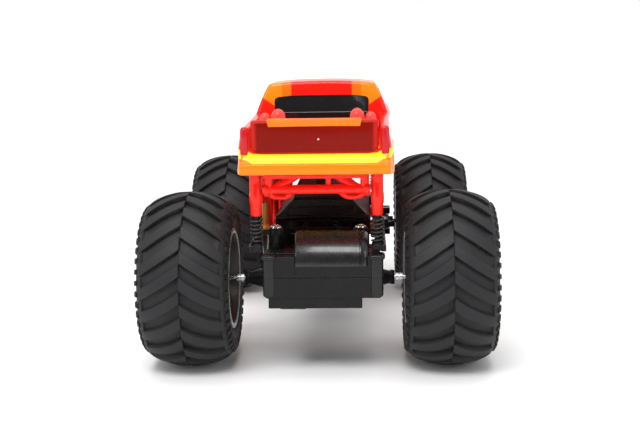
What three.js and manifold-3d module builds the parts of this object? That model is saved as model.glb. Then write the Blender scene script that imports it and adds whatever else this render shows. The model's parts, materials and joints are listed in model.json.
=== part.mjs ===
// A toy radio-controlled monster truck with a pickup body, in millimetres.
// The truck faces +Y, X points to its right and Z up; the origin is on the ground under its middle.
import * as THREE from "three";
import Module from "manifold-3d";
import { mergeVertices } from "three/addons/utils/BufferGeometryUtils.js";

// ---- driving dimensions ----
const AXLE_Y = 69; // each axle's distance from the middle of the truck
const WHEEL_X = 51.5; // wheel centre plane
const TYRE_R = 35;
const TYRE_HALF = 18;
const RIM_R = 20;
const SHAFT_R = 1; // steel wheel axles
const SEAM_Z = 40; // split between the halves of an axle housing
const HOUSING_TOP = 48.9;
const BODY_REAR = -97;
const BODY_FRONT = 98;
const BED_TOP = 100.3;
const BELT_Z = 98;
const ROOF_Z = 112;
const WALL = 1.7; // thickness of the painted body
const ARCH_R = 27; // wheel arch opening
const ARCH_Z = 61;
const FRAME_X = 23.2; // plane of each side frame and its shock sleeves
const SLEEVE_R = 2.4;
const SLEEVE_BORE = 1.5;
const ROD_R = 1.15;
const SHOCK_Y = [51, 87]; // distances from the middle to the two shocks of a corner
const SLEEVE_BOTTOM = 63;
const ROD_BASE_TOP = 52;
const MODULE = 0.5; // gear tooth size
const MOTOR_TEETH = 10;
const REDUCTION_BIG = 30;
const REDUCTION_SMALL = 12;
const AXLE_TEETH = 32;
const MOTOR_YZ = [-82, 44.5];
const REDUCTION_YZ = [-79.996, 34.704];
const AXLE_YZ = [-AXLE_Y, TYRE_R];
const CELL_R = 5.2; // AAA cells
const CELL_LENGTH = 44.5;
const KINGPIN_X = 28;
const STEER_ARM = 10; // kingpin to tie-rod pin
const STEER_TEETH = 12;
const PINION_Z = 40.4; // steering pinion, just over its rack's pitch line at 37.3

const wasm = await Module();
wasm.setup();

// ---- solids ----
function solid(geometry) {
  const g = geometry.clone();
  g.deleteAttribute("normal");
  g.deleteAttribute("uv");
  const m = mergeVertices(g, 1e-4);
  const p = m.attributes.position.array;
  const t = m.index.array;
  let volume = 0;
  for (let i = 0; i < t.length; i += 3) {
    const [a, b, c] = [t[i] * 3, t[i + 1] * 3, t[i + 2] * 3];
    volume +=
      p[a] * (p[b + 1] * p[c + 2] - p[b + 2] * p[c + 1]) -
      p[a + 1] * (p[b] * p[c + 2] - p[b + 2] * p[c]) +
      p[a + 2] * (p[b] * p[c + 1] - p[b + 1] * p[c]);
  }
  if (volume < 0) for (let i = 0; i < t.length; i += 3) [t[i], t[i + 1]] = [t[i + 1], t[i]];
  return new wasm.Manifold(
    new wasm.Mesh({
      numProp: 3,
      vertProperties: new Float32Array(p),
      triVerts: new Uint32Array(t),
    }),
  );
}

function join(...pieces) {
  return pieces.reduce((all, piece) => all.add(piece));
}

function cut(base, ...tools) {
  return tools.reduce((all, tool) => all.subtract(tool), base);
}

function box(x0, x1, y0, y1, z0, z1) {
  const g = new THREE.BoxGeometry(x1 - x0, y1 - y0, z1 - z0);
  return solid(g.translate((x0 + x1) / 2, (y0 + y1) / 2, (z0 + z1) / 2));
}

// A round bar, or a cone, from one point to another.
function bar(from, to, r0, r1 = r0, sides = 12) {
  const a = new THREE.Vector3(...from);
  const b = new THREE.Vector3(...to);
  const along = b.clone().sub(a);
  const g = new THREE.CylinderGeometry(r1, r0, along.length(), sides);
  g.applyQuaternion(
    new THREE.Quaternion().setFromUnitVectors(new THREE.Vector3(0, 1, 0), along.clone().normalize()),
  );
  return solid(g.translate(...a.add(b).multiplyScalar(0.5).toArray()));
}

function axial(axis, x, y, z, length, r, sides = 16, r1 = r) {
  const d = { x: [length, 0, 0], y: [0, length, 0], z: [0, 0, length] }[axis];
  return bar([x, y, z], [x + d[0], y + d[1], z + d[2]], r, r1, sides);
}

// Tubes that follow straight runs between points, with a ball at every bend.
function tubes(points, r, sides = 6) {
  const runs = [];
  for (let i = 1; i < points.length; i++) runs.push(bar(points[i - 1], points[i], r, r, sides));
  for (const p of points.slice(1, -1)) {
    runs.push(solid(new THREE.SphereGeometry(r * 1.04, 6, 4).translate(...p)));
  }
  return join(...runs);
}

function outline(points) {
  const s = new THREE.Shape();
  points.forEach(([a, b], i) => (i ? s.lineTo(a, b) : s.moveTo(a, b)));
  return s;
}

// An outline in (y, z), extruded between two x.
function prismX(points, x0, x1) {
  const g = new THREE.ExtrudeGeometry(outline(points), { depth: x1 - x0, bevelEnabled: false });
  const turn = new THREE.Matrix4().makeBasis(
    new THREE.Vector3(0, 1, 0), new THREE.Vector3(0, 0, 1), new THREE.Vector3(1, 0, 0));
  return g.applyMatrix4(turn).translate(x0, 0, 0);
}

// An outline in (x, y), extruded between two z.
function prismZ(points, z0, z1) {
  const g = new THREE.ExtrudeGeometry(outline(points), { depth: z1 - z0, bevelEnabled: false });
  return solid(g.translate(0, 0, z0));
}

// A profile of (radius, offset) turned about a line along X.
function turnedX(profile, x, y, z, segments) {
  const g = new THREE.LatheGeometry(profile.map(([r, o]) => new THREE.Vector2(r, o)), segments);
  return g.rotateZ(-Math.PI / 2).translate(x, y, z);
}

// Scales x about the middle by a factor that depends on height.
function tapered(geometry, factor) {
  const p = geometry.attributes.position;
  for (let i = 0; i < p.count; i++) p.setX(i, p.getX(i) * factor(p.getZ(i)));
  return solid(geometry);
}

function mirrorX(piece) {
  return piece.mirror([1, 0, 0]);
}

function mirrorY(piece) {
  return piece.mirror([0, 1, 0]);
}

// A spur gear's outline with straight-flanked teeth.
function gearOutline(teeth, phase) {
  const r = (MODULE * teeth) / 2;
  const root = r - 1.1 * MODULE;
  const tip = r + 0.8 * MODULE;
  const points = [];
  for (let i = 0; i < teeth; i++) {
    const middle = (2 * Math.PI * i) / teeth + phase;
    for (const [q, k] of [[root, -0.275], [tip, -0.1], [tip, 0.1], [root, 0.275]]) {
      const a = middle + (k * Math.PI * MODULE) / q;
      points.push([q * Math.cos(a), q * Math.sin(a)]);
    }
  }
  return points;
}

function gearX(teeth, phase, [y, z], x0, x1) {
  const points = gearOutline(teeth, phase).map(([a, b]) => [a + y, b + z]);
  return solid(prismX(points, x0, x1));
}

// ---- scene ----
const truck = new THREE.Group();

function material(color, roughness, metalness = 0) {
  return new THREE.MeshStandardMaterial({ color, roughness, metalness });
}

const RED = material(0xf0260c, 0.25);
const ORANGE = material(0xff9a20, 0.25);
const FRAME_RED = material(0xff3018, 0.35);
const BLACK = material(0x2c2c2f, 0.5);
const GLAZING = material(0x0b0b0d, 0.15);
const RUBBER = material(0x38383b, 0.8);
const RIM_GREY = material(0x8a8a86, 0.35, 0.6);
const STEEL = material(0xb8bcc0, 0.3, 1);
const AMBER = material(0xd89018, 0.4);
const NYLON = material(0xe8e6dc, 0.5);
const LENS = material(0xeef2f5, 0.1);
const CELL = material(0x2d6a3c, 0.4);
const BOARD = material(0x1c5c34, 0.5);
const BRASS = material(0xc9a24a, 0.35, 1);

function place(name, piece, look) {
  const geometry = new THREE.BufferGeometry();
  const mesh = piece.getMesh();
  geometry.setAttribute("position", new THREE.BufferAttribute(new Float32Array(mesh.vertProperties), 3));
  geometry.setIndex(new THREE.BufferAttribute(new Uint32Array(mesh.triVerts), 1));
  geometry.computeVertexNormals();
  const node = new THREE.Mesh(geometry, look);
  node.name = name;
  truck.add(node);
}

// ---- painted pickup body ----
function bodyOuter(grow) {
  // grow below zero gives the hollow inside; the side outline runs clockwise from the rear
  const g = grow;
  const lower = solid(prismX([
    [BODY_REAR - g, 80 - (g < 0 ? 20 : 0)], [BODY_REAR - g, (g < 0 ? 84 : BED_TOP)],
    [-27 + g * 0.2, (g < 0 ? 84 : BED_TOP)], [-27 + g * 0.2, BELT_Z + g],
    [30, BELT_Z + 0.6 + g], [62, 97 + g], [88, 94 + g], [95 + g * 0.6, 90 + g],
    [BODY_FRONT + g, 84], [BODY_FRONT - 1 + g, 74.5 - (g < 0 ? 20 : 0)],
    [40, 74.5 - (g < 0 ? 20 : 0)], [-40, 74.5 - (g < 0 ? 20 : 0)],
  ], -29.3 - g, 29.3 + g));
  const cab = tapered(
    prismX([
      [-26 - g, BELT_Z - 4], [-25 - g, BELT_Z + 3 + g], [-22.5 - g, 109.5 + g], [-20 - g, ROOF_Z - 0.6 + g],
      [-10, ROOF_Z + g], [4 + g, ROOF_Z + g], [9 + g, ROOF_Z - 1.5 + g], [32 + g, BELT_Z],
      [32 + g, BELT_Z - 4],
    ], -1, 1),
    (z) => g + 29 - Math.max(0, z - BELT_Z) * 0.4,
  );
  return [lower, cab];
}

const planOutline = [
  [-26.5, BODY_REAR], [26.5, BODY_REAR], [28.6, BODY_REAR + 3], [29.3, -40], [31, -36], [31, 38],
  [29.3, 42], [29.3, 88], [26, 96], [20, BODY_FRONT], [-20, BODY_FRONT], [-26, 96], [-29.3, 88],
  [-29.3, 42], [-31, 38], [-31, -36], [-29.3, -40], [-28.6, BODY_REAR + 3],
];

function arch(y, r, x0, x1, sides = 24) {
  return axial("x", x0, y, ARCH_Z, x1 - x0, r, sides);
}

{
  const [lower, cab] = bodyOuter(0);
  const [lowerInside, cabInside] = bodyOuter(-WALL);
  const plan = prismZ(planOutline, 60, 120);
  let shell = join(lower.intersect(plan), cab);
  for (const y of [-AXLE_Y, AXLE_Y]) {
    const flare = arch(y, ARCH_R + 3, -31, 31).intersect(box(-40, 40, y - 31, y + 31, 78.5, 96));
    shell = shell.add(flare.intersect(box(-40, 40, BODY_REAR + 1, BODY_FRONT - 1, 70, 100)));
  }
  shell = shell.add(box(-28.9, 28.9, BODY_REAR - 2, BODY_REAR + 4, 80, 84.4)); // rear bumper
  shell = shell.add(box(-27, 27, 94, BODY_FRONT + 2, 76, 82)); // front bumper
  const bed = box(-22.3, 22.3, BODY_REAR + 2.2, -28.6, 88, 120);
  shell = cut(shell, lowerInside, cabInside, bed);
  for (const y of [-AXLE_Y, AXLE_Y]) {
    for (const s of [-1, 1]) shell = shell.subtract(arch(y, ARCH_R, s < 0 ? -40 : 27.2, s < 0 ? -27.2 : 40));
  }
  // the floor of the bed, behind the hollow under it
  shell = cut(shell, box(-27.4, 27.4, -AXLE_Y - 20, -AXLE_Y + 20, 60, 84));
  const rearWindow = box(-20.3, 20.3, -40, -15, 98, 105.3);
  const sideWindow = solid(prismX([[-17, 99.5], [-15.5, 108], [5, 108], [20, 99.5]], -50, 50));
  const windscreen = tapered(
    prismX([[10, 99.6], [10, 109], [60, 109], [60, 99.6]], -1, 1),
    (z) => 24.5 - (z - BELT_Z) * 0.4,
  );
  shell = cut(shell, rearWindow, sideWindow, windscreen);
  // shallow panel in the tailgate, and openings for the lamps and grille
  shell = cut(
    shell,
    box(-20.6, 20.6, BODY_REAR - 1, BODY_REAR + 0.5, 88.5, 97.6),
    box(-18, 18, 92, 110, 84.5, 89.2),
    box(-26, -19, 90, 110, 84.5, 89.2),
    box(19, 26, 90, 110, 84.5, 89.2),
  );
  // capped tops of the body posts in the bed, which meet the frame below
  for (const x of [-15.6, 15.6]) {
    shell = join(shell, axial("z", x, -66, 87, 13.4, 2.8, 12), axial("z", x, -66, 100.3, 2.2, 2.8, 12, 1.4));
    shell = join(shell, axial("z", x + Math.sign(x) * 5.2, -66, 87, 13.2, 1.9, 10));
  }
  place("body_shell", shell, RED);
}

{
  // dark one-piece glazing behind the window openings, open below
  const outside = bodyOuter(-WALL - 0.35)[1].intersect(box(-40, 40, -40, 50, 98.2, 120));
  const inside = bodyOuter(-WALL - 1.5)[1].intersect(box(-40, 40, -40, 50, 90, 120));
  place("cab_glazing", outside.subtract(inside), GLAZING);
}

{
  let grille = box(-17.6, 17.6, 94.6, 98.3, 84.9, 88.8);
  for (let x = -15; x < 16; x += 5) grille = grille.subtract(box(x - 1.5, x + 1.5, 97, 100, 85.7, 88));
  place("front_grille", grille, BLACK);
  for (const [side, s] of [["left", -1], ["right", 1]]) {
    const lens = prismZ(
      [[18.5, 92.5], [25.6, 92.5], [25.6, 96.1], [20, 98.2], [18.5, 98.2]].map(([x, y]) => [x + 0.8, y]),
      84.9, 88.8,
    ).intersect(box(19.4, 25.6, 90, 99, 84, 90));
    place(`headlight_${side}`, s < 0 ? mirrorX(lens) : lens, LENS);
  }
}

// ---- tube frame ----
{
  const railZ = 77.5;
  let frame = tubes([
    [FRAME_X, -90, railZ], [FRAME_X, 90, railZ],
  ], 1.8);
  frame = join(
    frame,
    tubes([[FRAME_X, -86, 73], [FRAME_X, -51, 68], [FRAME_X, -35, 47], [FRAME_X, 35, 47], [FRAME_X, 51, 68],
      [FRAME_X, 86, 73]], 1.8),
    tubes([[FRAME_X, -34, 47], [FRAME_X, -16, railZ]], 1.5),
    tubes([[FRAME_X, 34, 47], [FRAME_X, 16, railZ]], 1.5),
    tubes([[FRAME_X, 0, 47], [FRAME_X, -16, railZ]], 1.5),
    tubes([[FRAME_X, 0, 47], [FRAME_X, 16, railZ]], 1.5),
  );
  const bores = [];
  for (const s of [-1, 1]) {
    for (const y of SHOCK_Y) {
      frame = frame.add(axial("z", FRAME_X, s * y, SLEEVE_BOTTOM, railZ - SLEEVE_BOTTOM + 2, SLEEVE_R, 12));
      bores.push(axial("z", FRAME_X, s * y, SLEEVE_BOTTOM - 1, 15.5, SLEEVE_BORE, 12));
    }
    // foot that screws to the side of the chassis
    frame = frame.add(box(20.5, FRAME_X, s * 26 - 4, s * 26 + 4, 44.5, 49.5));
  }
  frame = cut(frame, ...bores);
  place("side_frame_right", frame, FRAME_RED);
  place("side_frame_left", mirrorX(frame), FRAME_RED);

  // cross frame between the shock towers, with braces up to the body and a post down its middle
  let cross = tubes([[-20.4, -87, 73.2], [20.4, -87, 73.2]], 1.8, 8);
  cross = join(
    cross,
    tubes([[-18.4, -87, 73.2], [-18.4, -87, 78.6]], 1.7),
    tubes([[18.4, -87, 73.2], [18.4, -87, 78.6]], 1.7),
    tubes([[-17, -87, 73.2], [-6, -84, 78.6]], 1.5),
    tubes([[17, -87, 73.2], [6, -84, 78.6]], 1.5),
    tubes([[4.6, -86, 73.2], [4.6, -86, 78.6]], 1.1),
    tubes([[-19, -86.5, 73.2], [-14, -84, 69.8], [-8, -86.5, 73.2]], 1.1),
    tubes([[19, -86.5, 73.2], [14, -84, 69.8], [8, -86.5, 73.2]], 1.1),
    box(-19.6, 19.6, -96, -83, 78.2, 79.6),
  );
  place("cross_frame_rear", cross, FRAME_RED);
  place("cross_frame_front", mirrorY(cross), FRAME_RED);
}

// ---- chassis ----
{
  let tub = box(-20.1, 20.1, -36, 36, 38, 53);
  tub = cut(tub, box(-18.3, 18.3, -34.2, 34.2, 39.9, 60));
  // battery opening in the floor, and the slot for the power switch
  tub = cut(tub, box(-16.8, 16.8, -24, 26.5, 30, 45), box(-6, 6, -33.2, -27.8, 30, 45));
  // tongues that hold the front edge of the battery door
  tub = join(tub, box(-10, -5, 26, 29, 39.9, 41.2), box(5, 10, 26, 29, 39.9, 41.2));
  // lugs for the wishbone pivots at both ends
  for (const s of [-1, 1]) {
    for (const x of [-12.5, 9.9]) {
      const lug = box(x, x + 2.6, s > 0 ? 35 : -41.2, s > 0 ? 41.2 : -35, 46, 52);
      tub = cut(tub.add(lug), axial("x", x - 1, s * 39.5, 49, 5, 1.35, 10));
    }
  }
  place("chassis_tub", tub, BLACK);

  let lid = join(
    solid(prismX([[-36, 53.3], [36, 53.3], [36, 54.8], [-36, 54.8]], -20.1, 20.1)),
    box(-14, 14, -34, 34, 54, 58.2),
    // shoulders that slope from the box down to the edges of the lid
    tapered(prismX([[-33, 54.2], [33, 54.2], [33, 61.5], [-33, 61.5]], -1, 1), (z) => 19.8 - (z - 54.2) * 0.98),
    box(-12.2, 12.2, -30, 30, 58, 65),
  );
  lid = cut(lid, box(-12.4, 12.4, -32.4, 32.4, 50, 56.7), box(-10.7, 10.7, -28.4, 28.4, 50, 63.4));
  // central post that carries the body
  lid = lid.add(box(-4, 4, -12, 12, 64, 79));
  place("chassis_lid", lid, BLACK);

  let board = box(-9.5, 9.5, -26, 26, 58.6, 59.8);
  board = join(board, box(-5, 5, -8, 4, 59.7, 61.5), box(-8, -2, 12, 20, 59.7, 62.4), box(2, 7, 14, 20, 59.7, 61.8));
  place("circuit_board", board, BOARD);
  for (const [i, x] of [-10.9, 0, 10.9].entries()) {
    let cell = axial("y", x, -21.6, 45.8, CELL_LENGTH - 1, CELL_R, 16);
    cell = cell.add(axial("y", x, -21.7 + CELL_LENGTH, 45.8, -1.4, 1.9, 10));
    place(`battery_${i + 1}`, cell, CELL);
  }
  place("contact_plate_rear", box(-16, 16, -22.6, -21.95, 41.5, 50), BRASS);
  place("contact_plate_front", box(-16, 16, 23.2, 23.85, 41.5, 50), BRASS);

  const doorPlate = box(-16.4, 16.4, -23.7, 26.2, 38, 39.5);
  let door = join(doorPlate, box(-4.4, 4.4, -23.7, -18, 36.8, 38.2));
  door = cut(door, axial("z", 0, -20.8, 36, 5, 1.4, 12));
  place("battery_door", door, BLACK);
  place("battery_door_screw", join(
    axial("z", 0, -20.8, 36.2, 0.5, 2.3, 12), axial("z", 0, -20.8, 36.6, 3.6, 1.1, 10),
  ), STEEL);
  const knob = join(box(-2.4, 2.4, -32.6, -28.4, 39.0, 41.4), box(-1.2, 1.2, -31.6, -29.4, 36.6, 39.2));
  place("power_switch", knob, BLACK);
}

// ---- wheels ----
const tyreProfile = [
  [RIM_R + 0.4, -15.6], [22, -17.6], [25, -TYRE_HALF], [28.5, -17.1], [31.2, -14.8], [33.9, -9],
  [TYRE_R, 0], [33.9, 9], [31.2, 14.8], [28.5, 17.1], [25, TYRE_HALF], [22, 17.6],
  [RIM_R + 0.4, 15.6], [RIM_R + 0.4, -15.6],
];
// offsets grow towards the outer face of the wheel
const rimProfile = [
  [SHAFT_R + 0.12, -9], [4.2, -9], [4.6, 5.5], [15, 6.5], [17.5, 1], [17.9, -17], [RIM_R + 0.1, -16.6],
  [RIM_R + 0.1, 16.6], [18, 17], [15.6, 9.2], [8, 10.4], [6.4, 12.5], [SHAFT_R + 0.12, 12.5],
  [SHAFT_R + 0.12, -9],
];

for (const [end, y] of [["rear", -AXLE_Y], ["front", AXLE_Y]]) {
  for (const [side, s] of [["left", -1], ["right", 1]]) {
    const name = `${end}_${side}`;
    const tyre = solid(turnedX(tyreProfile, s * WHEEL_X, y, TYRE_R, 32));
    let rim = solid(turnedX(rimProfile, WHEEL_X, y, TYRE_R, 20));
    for (let i = 0; i < 6; i++) {
      const a = (i * Math.PI) / 3;
      const hole = axial("x", WHEEL_X - 2, y + 10.8 * Math.cos(a), TYRE_R + 10.8 * Math.sin(a), 18, 3, 6);
      rim = rim.subtract(hole);
    }
    if (s < 0) rim = mirrorX(rim);
    place(`tyre_${name}`, tyre, RUBBER);
    place(`rim_${name}`, rim, RIM_GREY);
    const nutX = s > 0 ? WHEEL_X + 12.8 : -WHEEL_X - 12.8 - 2.6;
    const nut = axial("x", nutX, y, TYRE_R, 2.6, 2.9, 6);
    place(`wheel_nut_${name}`, nut.subtract(axial("x", nutX - 1, y, TYRE_R, 5, SHAFT_R + 0.12, 12)), STEEL);
  }
}

// ---- rear axle: gearbox, motor, gears ----
const GX = [-20.7, 24.2];
const GY = [-93.8, -52];
const LEDGE_Y = -79.8; // the housing is high behind this line and low ahead of it
const HOUSING_LOW_TOP = 45.4;
const TOWER_X = [-16.6, 16.6];
const TOWER_Y = -76.6;
{
  const [my, mz] = MOTOR_YZ;
  const [ry, rz] = REDUCTION_YZ;
  let lower = join(
    box(GX[0], GX[1], GY[0], GY[1], 32, SEAM_Z - 0.15),
    box(-18.7, 17.1, GY[0], GY[1] + 2, 28.2, 33),
    axial("x", -15, ...AXLE_YZ, 10, 10.3, 20),
    axial("x", -15, ry, rz, 10, 9.8, 20),
  );
  // conical arms round the axle shaft
  lower = join(lower,
    axial("x", -30, ...AXLE_YZ, 10.5, 2.8, 16, 4.6), axial("x", 23.5, ...AXLE_YZ, 6.5, 4.6, 16, 2.8));
  lower = cut(
    lower,
    box(GX[0] + 1.4, GX[1] - 1.4, GY[0] + 1.4, GY[1] - 1.4, 33.4, 50),
    box(-17.3, 15.7, GY[0] + 1.4, GY[1] - 1.4, 29.6, 50),
    axial("x", -14, ...AXLE_YZ, 8, 8.95, 20),
    axial("x", -14, ry, rz, 8, 8.5, 20),
    axial("x", -4, my, mz, 22.5, 10.3, 20),
  );
  // bearing bosses for the axle and the reduction gear's pin
  lower = join(lower, axial("x", -19.5, ry, rz, 5.2, 2.4, 10), axial("x", -19.5, ...AXLE_YZ, 5.2, 2.6, 10));
  lower = cut(
    lower,
    axial("x", -35, ...AXLE_YZ, 70, SHAFT_R + 0.3, 12),
    axial("x", -18.4, ry, rz, 6, 0.95, 10),
  );
  place("gearbox_lower", lower, BLACK);

  let upper = join(
    box(GX[0], GX[1], GY[0], LEDGE_Y, SEAM_Z + 0.15, HOUSING_TOP),
    box(GX[0], GX[1], LEDGE_Y - 1, GY[1], SEAM_Z + 0.15, HOUSING_LOW_TOP),
    axial("x", -10.6, my, mz, 3, 4.4, 16).intersect(box(-50, 50, -120, -40, SEAM_Z + 0.15, 60)),
    axial("x", -8.6, my, mz, 28.2, 11.6, 24).intersect(box(-50, 50, -120, -40, SEAM_Z + 0.15, 60)),
    box(GX[0] - 1, GX[0] + 4, GY[0], GY[0] + 4, HOUSING_TOP - 1, HOUSING_TOP),
    box(GX[1] - 4, GX[1] + 1, GY[0], GY[0] + 4, HOUSING_TOP - 1, HOUSING_TOP),
  );
  for (const x of TOWER_X) upper = upper.add(axial("z", x, TOWER_Y, HOUSING_LOW_TOP - 1, 57.3 - HOUSING_LOW_TOP, 2.9, 12));
  // forks that the wishbone's cross bar lies in, open at the top
  for (const x of [-7, 5.2]) {
    upper = upper.add(box(x, x + 1.8, -60, -49.2, HOUSING_LOW_TOP - 1.2, 54.6).subtract(box(x - 1, x + 3, -57, -51, 49.9, 60)));
  }
  upper = cut(
    upper,
    box(GX[0] + 1.4, GX[1] - 1.4, GY[0] + 1.4, LEDGE_Y - 1.4, 39, HOUSING_TOP - 1.3),
    box(GX[0] + 1.4, GX[1] - 1.4, GY[0] + 1.4, GY[1] - 1.4, 39, HOUSING_LOW_TOP - 1.3),
    axial("x", -9.4, my, mz, 3.4, 3.3, 16),
    axial("x", -7.2, my, mz, 25.7, 10.3, 24),
  );
  place("gearbox_upper", upper, BLACK);
  for (const [side, x] of [["left", TOWER_X[0]], ["right", TOWER_X[1]]]) {
    place(`tower_screw_${side}`, axial("z", x, TOWER_Y, 56.6, 1.1, 2.2, 12, 1.7), STEEL);
  }

  const motor = cut(
    join(axial("x", -3.4, my, mz, 21.4, 10, 24), axial("x", -4.4, my, mz, 1.2, 3, 12)),
    axial("x", -10, my, mz, 14, 1.0, 10),
  );
  place("drive_motor", motor, STEEL);
  const pinionPhase = Math.atan2(rz - mz, ry - my);
  let pinion = gearX(MOTOR_TEETH, pinionPhase, MOTOR_YZ, -8.8, -6.4);
  pinion = pinion.add(axial("x", -6.6, my, mz, 9.4, 0.75, 10));
  place("motor_pinion", pinion, BRASS);

  // tooth gaps face the pinion and the axle gear at rest
  const toMotor = Math.atan2(mz - rz, my - ry);
  const toAxle = Math.atan2(TYRE_R - rz, -AXLE_Y - ry);
  let reduction = join(
    gearX(REDUCTION_BIG, toMotor + Math.PI / REDUCTION_BIG, REDUCTION_YZ, -9.1, -6.3),
    gearX(REDUCTION_SMALL, toAxle, REDUCTION_YZ, -12.8, -9),
  );
  reduction = reduction.subtract(axial("x", -15, ry, rz, 12, 0.95, 12));
  place("reduction_gear", reduction, NYLON);
  place("reduction_pin", axial("x", -18, ry, rz, 13.4, 0.75, 10), STEEL);

  const fromAxle = Math.atan2(rz - TYRE_R, ry + AXLE_Y);
  let axleGear = gearX(AXLE_TEETH, fromAxle + Math.PI / AXLE_TEETH, AXLE_YZ, -12.7, -10);
  axleGear = axleGear.subtract(axial("x", -16, ...AXLE_YZ, 12, SHAFT_R + 0.12, 12));
  place("axle_gear", axleGear, NYLON);
  place("axle_shaft_rear", axial("x", -66.8, ...AXLE_YZ, 133.6, SHAFT_R, 12), STEEL);
}

// ---- suspension: rods that slide in the frame's sleeves, coil springs, wishbones ----
function rodPair(lo) {
  const base = box(FRAME_X + 1.2, FRAME_X + 3.2, SHOCK_Y[0] - 3, SHOCK_Y[1] + 3, lo, ROD_BASE_TOP - 0.2);
  const foot = (y) => box(FRAME_X - 2, FRAME_X + 2.6, y - 2.6, y + 2.6, ROD_BASE_TOP - 2.4, ROD_BASE_TOP);
  return join(
    base, foot(SHOCK_Y[0]), foot(SHOCK_Y[1]),
    ...SHOCK_Y.map((y) => axial("z", FRAME_X, y, ROD_BASE_TOP - 1, 22, ROD_R, 10)),
  );
}

function coil(x, y, z0, z1) {
  const turns = 4;
  const perTurn = 8;
  const points = [];
  for (let i = 0; i <= turns * perTurn; i++) {
    const a = (i / perTurn) * 2 * Math.PI;
    points.push(new THREE.Vector3(x + 2.25 * Math.cos(a), y + 2.25 * Math.sin(a),
      z0 + 0.5 + ((z1 - z0 - 1) * i) / (turns * perTurn)));
  }
  const section = outline([[0.4, 0], [0, 0.4], [-0.4, 0], [0, -0.4]]);
  return solid(new THREE.ExtrudeGeometry(section, {
    steps: turns * perTurn, bevelEnabled: false,
    extrudePath: new THREE.CatmullRomCurve3(points),
  }));
}

{
  const pair = rodPair(49.4);
  const spring = coil(FRAME_X, SHOCK_Y[1], ROD_BASE_TOP + 0.15, SLEEVE_BOTTOM - 0.15);
  for (const [end, flip] of [["rear", true], ["front", false]]) {
    for (const [side, s] of [["left", -1], ["right", 1]]) {
      const put = (piece) => {
        const p = flip ? mirrorY(piece) : piece;
        return s < 0 ? mirrorX(p) : p;
      };
      place(`shock_rods_${end}_${side}`, put(pair), AMBER);
      place(`spring_${end}_${side}`, put(spring), BLACK);
    }
  }
  // wishbone from the chassis lugs out to the axle towers
  const arm = [];
  for (const s of [-1, 1]) {
    arm.push(tubes([[s * 7.4, -39.5, 49], [s * 12.6, -55, 51.5]], 1.4));
    arm.push(axial("x", s > 0 ? 6.4 : -9.4, -39.5, 49, 3, 2.2, 12));
  }
  arm.push(tubes([[-12.6, -54.4, 51.6], [12.6, -54.4, 51.6]], 1.3));
  arm.push(axial("x", -12.2, -39.5, 49, 24.4, 1.0, 10));
  const wishbone = join(...arm);
  place("wishbone_rear", wishbone, BLACK);
  place("wishbone_front", mirrorY(wishbone), BLACK);
}

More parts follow.
